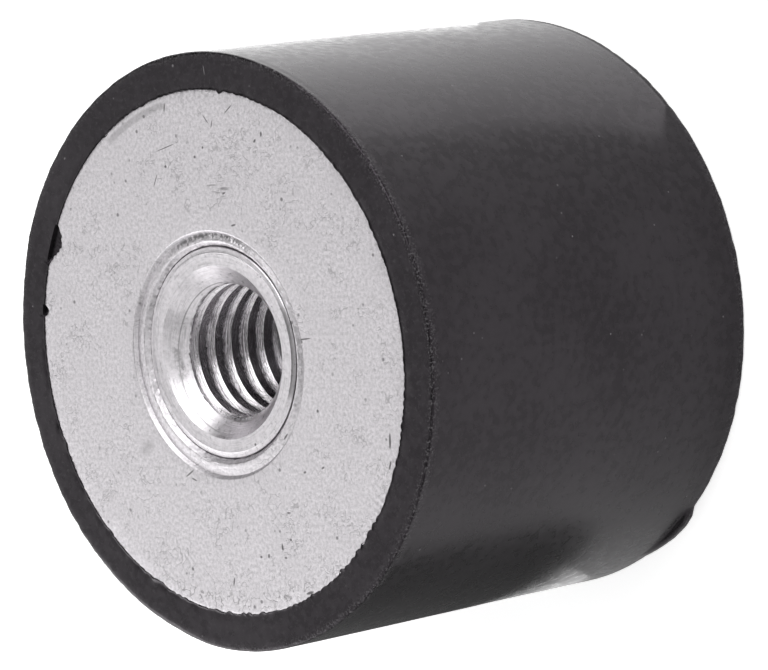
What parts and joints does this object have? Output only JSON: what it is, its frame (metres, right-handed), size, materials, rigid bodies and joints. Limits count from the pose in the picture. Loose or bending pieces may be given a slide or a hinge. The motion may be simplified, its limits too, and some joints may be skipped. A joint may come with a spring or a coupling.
{
  "type": "bobbin vibration mount",
  "caption": "Cylindrical rubber vibration mount with a bonded steel plate and a blind threaded bush in each end.",
  "frame": {"origin": "centre of the lower end face, where the mount stands", "axes": "+Z along the mount's axis, from the lower end to the upper end; the mount is the same all round"},
  "size_m": [0.04, 0.04, 0.03],
  "materials": {
    "black_rubber": "satin moulded rubber with a faint bloom",
    "zinc_plated_steel": "dull, finely mottled zinc plating",
    "turned_steel": "turned and zinc plated"
  },
  "bodies": {
    "root": {"rubber_body": "black_rubber", "lower_plate": "zinc_plated_steel", "upper_plate": "zinc_plated_steel", "lower_bush": "turned_steel", "upper_bush": "turned_steel"}
  },
  "joints": []
}
